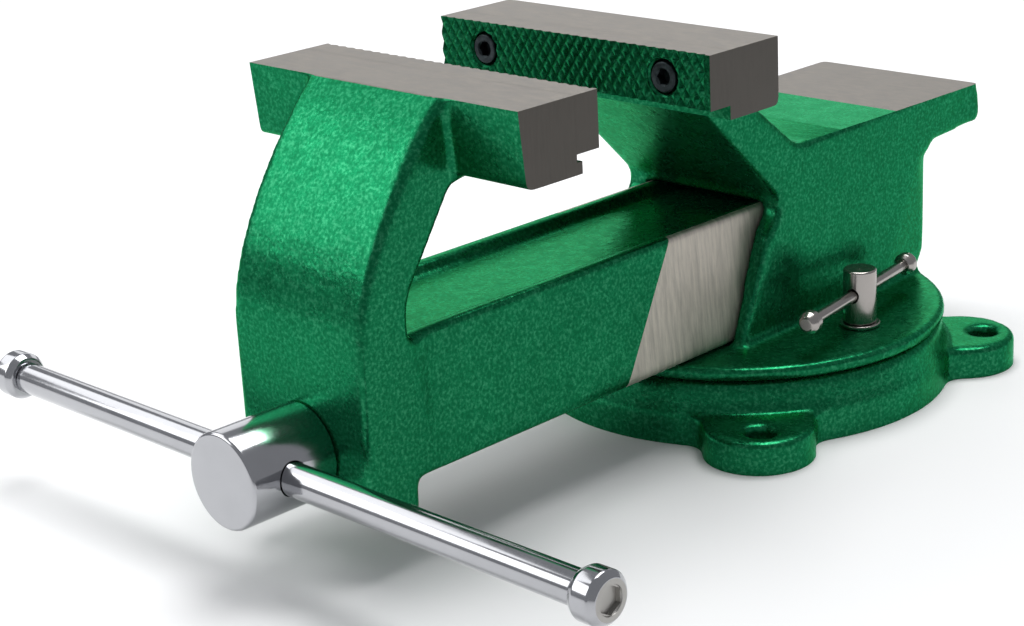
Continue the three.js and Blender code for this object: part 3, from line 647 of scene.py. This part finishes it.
def toothed_sheet(name, low, high, depth):
    """A block whose -Y face is covered with staggered pyramids, wider and taller than the plate."""
    bm = bmesh.new()
    found = {}

    def corner(x, z, y):
        key = (round(x / MM, 3), round(z / MM, 3), round(y / MM, 4))
        if key not in found:
            found[key] = bm.verts.new((x, y, z))
        return found[key]

    columns = math.ceil((high.x - low.x) / TOOTH_WIDTH) + 2
    rows = math.ceil((high.z - low.z) / TOOTH_STEP) + 3
    ring = [(TOOTH_WIDTH / 2, 0), (0, TOOTH_STEP), (-TOOTH_WIDTH / 2, 0), (0, -TOOTH_STEP)]
    tip = TOOTH_TIP
    for row in range(-1, rows):
        for column in range(-1, columns):
            x = low.x + (column + 0.5 * (row % 2)) * TOOTH_WIDTH
            z = low.z + row * TOOTH_STEP
            foot = [corner(x + dx, z + dz, TOOTH_HEIGHT) for dx, dz in ring]
            top = [corner(x + tip * dx, z + tip * dz, TOOTH_HEIGHT * tip) for dx, dz in ring]
            for k in range(4):
                bm.faces.new([foot[k], foot[(k + 1) % 4], top[(k + 1) % 4], top[k]])
            bm.faces.new(top)
    rim = bmesh.ops.extrude_edge_only(bm, edges=[e for e in bm.edges if e.is_boundary])
    for item in rim["geom"]:
        if isinstance(item, bmesh.types.BMVert):
            item.co.y = depth
    bmesh.ops.holes_fill(bm, edges=[e for e in bm.edges if e.is_boundary], sides=0)
    bmesh.ops.recalc_face_normals(bm, faces=bm.faces)
    return new_object(name, bm)


def make_plate(jaw, side):
    """side is -1 where the teeth face -Y and 1 where they face +Y."""
    node = f"{jaw}_jaw_plate"
    low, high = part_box(node)
    thick = high.y - low.y
    plate = toothed_sheet(f"{jaw}_serrated_plate", low, high, 2 * thick)
    if side < 0:
        end_low, end_high = high.x - PLAIN_END, 2 * high.x
    else:
        end_low, end_high = -2 * high.x, low.x + PLAIN_END
    boolean(plate, "UNION", box((end_low, 0, 0), (end_high, 1.5 * thick, 2 * high.z)))
    reach = thick + 0.2 * MM
    boolean(plate, "INTERSECT", box((low.x, -MM, low.z), (high.x, reach, high.z)))
    for screw in ("left", "right"):
        place = middle_of(f"{jaw}_plate_screw_{screw}")
        mouth = lathe("tool", [
            (0, -MM), (COUNTERBORE_MOUTH, -MM), (COUNTERBORE_MOUTH, TOOTH_HEIGHT),
            (COUNTERBORE, TOOTH_HEIGHT + 0.8 * MM), (COUNTERBORE, COUNTERBORE_SEAT),
            (0, COUNTERBORE_SEAT),
        ])
        for tool in (mouth, rod(SCREW_HOLE, 0, 2 * thick)):
            boolean(plate, "DIFFERENCE", placed(tool, "+Y", (-side * place.x, 0, place.z)))
    turn = Matrix.Identity(4) if side < 0 else Matrix.Rotation(math.pi, 4, "Z")
    placed(plate, turn, (0, low.y if side < 0 else high.y, 0))

    # The dark steel on the plate's ends and foot is painted shade, and the lighter steel on its top
    # is painted light.
    def machined(centre):
        if near(centre.z, high.z):
            return LIT_STEEL_ALONG
        return SHADED_STEEL if near(abs(centre.x), high.x) or near(centre.z, low.z) else None

    # The plate's darker enamel is painted shade on its toothed face.
    finished(plate, SHADED_PLATE_PAINT, SHADED_STEEL, LIT_STEEL_ALONG)
    assign(plate, machined)
    return stands_for(plate, node)


def socket_screw(name, head, length):
    """An M8 socket screw along +Z: the head's outer face at z = 0 and the shank above it."""
    body = lathe(name, [
        (0, 0), (head, 0, 0.7 * MM), (head, M8_HEAD, 0.2 * MM), (M8_SHANK, M8_HEAD),
        (M8_SHANK, length, 0.8 * MM), (0, length),
    ], SMALL_ROUND)
    edge = corner_radius(M8_FLATS) + 0.35 * MM
    chamfer = lathe("tool", [
        (0, -0.5 * MM), (edge + 0.4 * MM, -0.5 * MM), (edge, 0), (edge - 0.8 * MM, 0.8 * MM),
        (0, 0.8 * MM),
    ], SMALL_ROUND)
    return boolean(body, "DIFFERENCE", hexagon(M8_FLATS, -MM, M8_SOCKET), chamfer)


def make_plate_screws():
    for jaw, axis in (("fixed", "+Y"), ("moving", "-Y")):
        for side in ("left", "right"):
            node = f"{jaw}_plate_screw_{side}"
            low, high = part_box(node)
            name = f"{jaw}_socket_screw_{side}"
            screw = socket_screw(name, (high.x - low.x) / 2, high.y - low.y)
            place = middle_of(node)
            start = low.y if axis == "+Y" else high.y
            placed(screw, axis, (place.x, start, place.z))
            stands_for(finished(screw, OXIDE), node)


def make_nut_bolts():
    for place in ("front", "rear"):
        node = f"nut_bolt_{place}"
        low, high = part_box(node)
        name = f"nut_cap_bolt_{place}"
        bolt = socket_screw(name, (high.x - low.x) / 2, high.z - low.z)
        middle = middle_of(node)
        placed(bolt, "+Z", (middle.x, middle.y, low.z))
        stands_for(finished(bolt, OXIDE), node)


# --- spindle and handle -----------------------------------------------------------------------

PITCH = 5 * MM
THREAD_DEPTH = 2.2 * MM
THREAD_START = 42 * MM
TURN_STEPS = 48
PITCH_STEPS = 8
SHAFT = 11 * MM
HEAD_LENGTH = 39.7 * MM
HEAD_EDGE = 1.6 * MM
HANDLE_BORE = 6.9 * MM
HANDLE_RADIUS = 6.5 * MM
KNOB_FLATS = 9.4 * MM
KNOB_SOCKET = 2.2 * MM
COLLAR_BORE = 11.3 * MM
PIN_RADIUS = 3 * MM
PIN_BORE = 3.3 * MM
WIRE = 1.3 * MM
COILS = 4
COIL_STEPS = 48
WIRE_STEPS = 12


def thread_cut(phase):
    """How deep a trapezoid thread is cut at a share of its pitch, from 0 at the crest to 1 at
    the root."""
    distance = abs(phase % 1 - 0.5) * 2
    return min(1, max(0, (0.62 - distance) / 0.24))


def spindle_rings(head_radius, length):
    """The spindle's outline as (radius, distance from the head's face, share of thread depth)."""
    rings = []
    for k in range(ARC_STEPS + 1):
        angle = math.pi / 2 * k / ARC_STEPS
        radius = head_radius - HEAD_EDGE + HEAD_EDGE * math.sin(angle)
        rings.append((radius, HEAD_EDGE - HEAD_EDGE * math.cos(angle), 0))
    rings += [
        (head_radius, HEAD_LENGTH - 0.6 * MM, 0),
        (head_radius - 0.6 * MM, HEAD_LENGTH, 0),
        (SHAFT + 0.5 * MM, HEAD_LENGTH, 0),
        (SHAFT, HEAD_LENGTH + 0.5 * MM, 0),
    ]
    start = HEAD_LENGTH + THREAD_START
    end = length - 4 * MM
    count = int((end - start) / PITCH * PITCH_STEPS)
    for k in range(count + 1):
        y = start + (end - start) * k / count
        rings.append((SHAFT, y, max(0, min(1, (y - start) / PITCH, (end - y) / PITCH))))
    return rings + [(SHAFT, length - 1.5 * MM, 0), (SHAFT - 1.5 * MM, length, 0)]


def cross_hole(radius, reach, y, segments=ROUND):
    """A drill along X at a distance along the spindle."""
    return placed(rod(radius, -reach, reach, segments), "+X", (0, y, 0))


def make_spindle():
    low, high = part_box("spindle")
    head_radius = (high.x - low.x) / 2
    bm = bmesh.new()
    loops = []
    for radius, y, threaded in spindle_rings(head_radius, high.y - low.y):
        loop = []
        for angle in turns(TURN_STEPS):
            cut = threaded * THREAD_DEPTH * thread_cut(y / PITCH - angle / (2 * math.pi))
            out = radius - cut
            loop.append(bm.verts.new((out * math.sin(angle), y, out * math.cos(angle))))
        loops.append(loop)
    spindle = skinned("threaded_spindle", bm, loops)
    bar_y = middle_of("handle_bar").y - low.y
    pin_y = middle_of("collar_pin").y - low.y
    boolean(spindle, "DIFFERENCE", cross_hole(HANDLE_BORE, head_radius + MM, bar_y))
    boolean(spindle, "DIFFERENCE", cross_hole(PIN_BORE, 15 * MM, pin_y, SMALL_ROUND))
    axis = middle_of("spindle")
    placed(spindle, "+Z", (axis.x, low.y, axis.z))
    finished(spindle, CHROME, NICKEL)
    assign(spindle, lambda centre: NICKEL if centre.y > low.y + HEAD_LENGTH else None)
    return stands_for(spindle, "spindle")


def make_knob(side, axis):
    node = f"handle_knob_{side}"
    low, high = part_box(node)
    middle = middle_of(node)
    length = high.x - low.x
    radius = (high.z - low.z) / 2
    knob = lathe(f"rounded_knob_{side}", [
        (0, 0), (radius - 1.7 * MM, 0, 1.2 * MM), (radius, 2.8 * MM, 2.2 * MM),
        (radius, length - 2.2 * MM, 1.6 * MM), (radius - 2.2 * MM, length, 0.7 * MM), (0, length),
    ])
    boolean(knob, "DIFFERENCE", hexagon(KNOB_FLATS, length - KNOB_SOCKET, length + MM))
    dish = lathe("tool", [
        (0, length - 0.5 * MM), (5.3 * MM, length - 0.5 * MM), (6.0 * MM, length + MM),
        (0, length + MM),
    ])
    boolean(knob, "DIFFERENCE", dish)
    end = 1 if side == "right" else -1
    start = low.x if side == "right" else high.x
    placed(knob, axis, (start, middle.y, middle.z))

    def sawn(centre):
        spread = (centre.y - middle.y) ** 2 + (centre.z - middle.z) ** 2
        outer_half = (centre.x - start) * end > length / 2
        return ROUGH_CHROME if outer_half and spread < (radius - 3.2 * MM) ** 2 else None

    finished(knob, CHROME, ROUGH_CHROME)
    assign(knob, sawn)
    return stands_for(knob, node)


def make_handle():
    low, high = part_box("handle_bar")
    middle = middle_of("handle_bar")
    bar = rounded_rod("chromed_bar", HANDLE_RADIUS, low.x, high.x, 1.2 * MM)
    placed(bar, "+X", (0, middle.y, middle.z))
    stands_for(finished(bar, CHROME), "handle_bar")
    make_knob("left", "-X")
    make_knob("right", "+X")


def make_screw_fittings():
    for node, name in (("spindle_washer", "thrust_washer"), ("retaining_collar", "set_collar")):
        low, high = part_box(node)
        middle = middle_of(node)
        ring = tube(name, COLLAR_BORE, (high.x - low.x) / 2, 0, high.y - low.y, 0.6 * MM)
        if node == "retaining_collar":
            drill = rod(PIN_BORE, -30 * MM, 30 * MM, SMALL_ROUND)
            pin_y = middle_of("collar_pin").y - low.y
            boolean(ring, "DIFFERENCE", placed(drill, "+X", (0, 0, pin_y)))
        placed(ring, "+Y", (middle.x, low.y, middle.z))
        stands_for(finished(ring, NICKEL), node)
    low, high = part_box("collar_pin")
    middle = middle_of("collar_pin")
    pin = rounded_rod("rolled_pin", PIN_RADIUS, low.x, high.x, 0.8 * MM, SMALL_ROUND)
    placed(pin, "+X", (0, middle.y, middle.z))
    stands_for(finished(pin, SPRING), "collar_pin")


def make_spring():
    low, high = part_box("take_up_spring")
    middle = middle_of("take_up_spring")
    radius = (high.x - low.x) / 2 - WIRE
    rise = high.y - low.y - 2 * WIRE
    steps = COIL_STEPS * COILS
    along = Vector((0, 1, 0))
    bm = bmesh.new()
    loops = []
    for k in range(steps + 1):
        angle = 2 * math.pi * COILS * k / steps
        out = Vector((math.cos(angle), 0, math.sin(angle)))
        y = low.y + WIRE + rise * k / steps
        centre = Vector((middle.x, y, middle.z)) + radius * out
        loops.append([
            bm.verts.new(centre + WIRE * (math.cos(a) * out + math.sin(a) * along))
            for a in turns(WIRE_STEPS)
        ])
    stands_for(finished(skinned("coiled_spring", bm, loops), SPRING), "take_up_spring")


def bevelled(name, node, width, segments):
    """A copy of a CAD node with its edges rounded."""
    bm = cad_mesh(node)
    flat = math.radians(1)
    bmesh.ops.dissolve_limit(bm, angle_limit=flat, verts=bm.verts, edges=bm.edges)
    piece = new_object(name, bm)
    bevel = piece.modifiers.new("bevel", "BEVEL")
    bevel.width = width
    bevel.segments = segments
    bevel.limit_method = "ANGLE"
    bevel.angle_limit = math.radians(50)
    return applied(piece)


def make_nut():
    nut = bevelled("bronze_nut", "spindle_nut", 0.8 * MM, 3)
    stands_for(finished(nut, BRONZE), "spindle_nut")


# --- swivel locks -----------------------------------------------------------------------------

BAR_TILT = math.radians(8.8)
LOCK_SHANK = 5 * MM
LOCK_WASHER_BORE = 5.3 * MM
TOMMY_RADIUS = 2.55 * MM
TOMMY_BORE = 2.95 * MM
TOMMY_BORE_MOUTH = 4.6 * MM
BALL_HALF = 4 * MM


def make_pillar(side, along):
    node = f"lock_screw_{side}"
    low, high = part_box(node)
    axis = middle_of(node)
    bar_z = middle_of(f"tommy_bar_{side}").z
    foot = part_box(f"lock_washer_{side}")[1].z + 0.3 * MM
    radius = (high.x - low.x) / 2
    pillar = lathe(f"drilled_pillar_{side}", [
        (0, low.z), (LOCK_SHANK, low.z, 0.8 * MM), (LOCK_SHANK, foot), (radius, foot, 0.3 * MM),
        (radius, high.z, 0.9 * MM), (0, high.z),
    ])
    hole = lathe("tool", [
        (0, -9 * MM), (TOMMY_BORE_MOUTH, -9 * MM), (TOMMY_BORE, -6.6 * MM),
        (TOMMY_BORE, 6.6 * MM), (TOMMY_BORE_MOUTH, 9 * MM), (0, 9 * MM),
    ], SMALL_ROUND)
    boolean(pillar, "DIFFERENCE", placed(hole, along, (0, 0, bar_z)))
    placed(pillar, "+Z", (axis.x, axis.y, 0))
    stands_for(finished(pillar, NICKEL), node)
    return axis


def make_lock_washer(side, axis):
    node = f"lock_washer_{side}"
    low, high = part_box(node)
    radius = (high.x - low.x) / 2
    thick = high.z - low.z
    washer = tube(f"flat_washer_{side}", LOCK_WASHER_BORE, radius, 0, thick, 0.4 * MM)
    placed(washer, "+Z", (axis.x, axis.y, low.z))
    stands_for(finished(washer, NICKEL), node)


def make_tommy_bar(side, tilt):
    ends = ("front", "rear")
    places = [middle_of(f"tommy_knob_{side}_{end}") for end in ends]
    half = (places[1] - places[0]).length / 2 - BALL_HALF
    bar = rounded_rod(f"tommy_rod_{side}", TOMMY_RADIUS, -half, half, 0.4 * MM, SMALL_ROUND)
    placed(bar, tilt @ AXES["+Y"], (places[0] + places[1]) / 2)
    stands_for(finished(bar, NICKEL), f"tommy_bar_{side}")
    for place, end, way in zip(places, ends, ("-Y", "+Y")):
        ball = lathe(f"tommy_ball_{side}_{end}", [
            (0, -BALL_HALF), (3.4 * MM, -BALL_HALF, 0.5 * MM), (5 * MM, -2.2 * MM, 0.9 * MM),
            (5 * MM, 1.2 * MM, 1.8 * MM), (3.2 * MM, BALL_HALF, 1.6 * MM), (0, BALL_HALF),
        ], SMALL_ROUND)
        placed(ball, tilt @ AXES[way], place)
        stands_for(finished(ball, NICKEL), f"tommy_knob_{side}_{end}")


def make_lock(side, sign):
    tilt = Matrix.Rotation(sign * BAR_TILT, 4, "Z")
    axis = make_pillar(side, tilt @ AXES["+Y"])
    make_lock_washer(side, axis)
    make_tommy_bar(side, tilt)
    nut = bevelled(f"slot_nut_{side}", f"lock_t_nut_{side}", 0.6 * MM, 2)
    stands_for(finished(nut, OXIDE), f"lock_t_nut_{side}")


# --- floor, light and camera ------------------------------------------------------------------

CAMERA_PLACE = Vector((600.52, -735.49, 358.60)) * MM
AZIMUTH = math.radians(45.6)
ELEVATION = math.radians(19.0)
ROLL = math.radians(-3.1)
LENS = 75.94
SENSOR = 36
FLOOR_HALF = 6


def make_camera():
    back = Vector((
        math.sin(AZIMUTH) * math.cos(ELEVATION),
        -math.cos(AZIMUTH) * math.cos(ELEVATION),
        math.sin(ELEVATION),
    ))
    level = Vector((math.cos(AZIMUTH), math.sin(AZIMUTH), 0))
    above = back.cross(level)
    right = math.cos(ROLL) * level + math.sin(ROLL) * above
    up = -math.sin(ROLL) * level + math.cos(ROLL) * above
    data = bpy.data.cameras.new("camera")
    data.lens = LENS
    data.sensor_width = SENSOR
    camera = bpy.data.objects.new("camera", data)
    turn = Matrix((right, up, back)).transposed().to_4x4()
    camera.matrix_world = Matrix.Translation(CAMERA_PLACE) @ turn
    bpy.context.scene.collection.objects.link(camera)
    bpy.context.scene.camera = camera


def softbox(name, place, target, size, power):
    data = bpy.data.lights.new(name, "AREA")
    data.shape = "RECTANGLE"
    data.size, data.size_y = size
    data.energy = power
    lamp = bpy.data.objects.new(name, data)
    lamp.location = place
    lamp.rotation_euler = (Vector(target) - Vector(place)).to_track_quat("-Z", "Y").to_euler()
    bpy.context.scene.collection.objects.link(lamp)


def make_studio():
    bm = bmesh.new()
    bmesh.ops.create_grid(bm, x_segments=1, y_segments=1, size=FLOOR_HALF)
    floor = new_object("floor", bm)
    paper = Finish("paper", Roughness=0.7)
    tone = paper.ramp(paper.noise(3, 2.0), (0.3, (0.86, 0.86, 0.86)), (0.7, (0.89, 0.89, 0.89)))
    floor.data.materials.append(paper.link(Base_Color=tone))
    world = bpy.data.worlds.new("studio")
    bpy.context.scene.world = world
    world.use_nodes = True
    background = world.node_tree.nodes["Background"]
    background.inputs["Color"].default_value = (0.93, 0.95, 1.0, 1)
    background.inputs["Strength"].default_value = 0.36
    softbox("key", (-1.15, -1.35, 0.95), (0, -0.1, 0.08), size=(1.2, 0.9), power=10)
    softbox("side", (-1.5, -0.5, 1.35), (0, -0.1, 0.1), size=(1.3, 1.1), power=8)
    softbox("overhead", (-0.1, 0.3, 1.9), (0, 0, 0.05), size=(1.2, 1.2), power=32)
    softbox("backdrop", (-1.3, 1.3, 0.8), (0, 0, 0.1), size=(1.7, 0.9), power=5)
    bpy.context.scene.view_settings.view_transform = "Standard"


# --- the vise ---------------------------------------------------------------------------------

make_camera()
make_studio()
make_base()
make_body()
make_moving_jaw()
make_plate("fixed", -1)
make_plate("moving", 1)
make_plate_screws()
make_spindle()
make_handle()
make_screw_fittings()
make_spring()
make_nut()
make_nut_bolts()
make_lock("left", -1)
make_lock("right", 1)
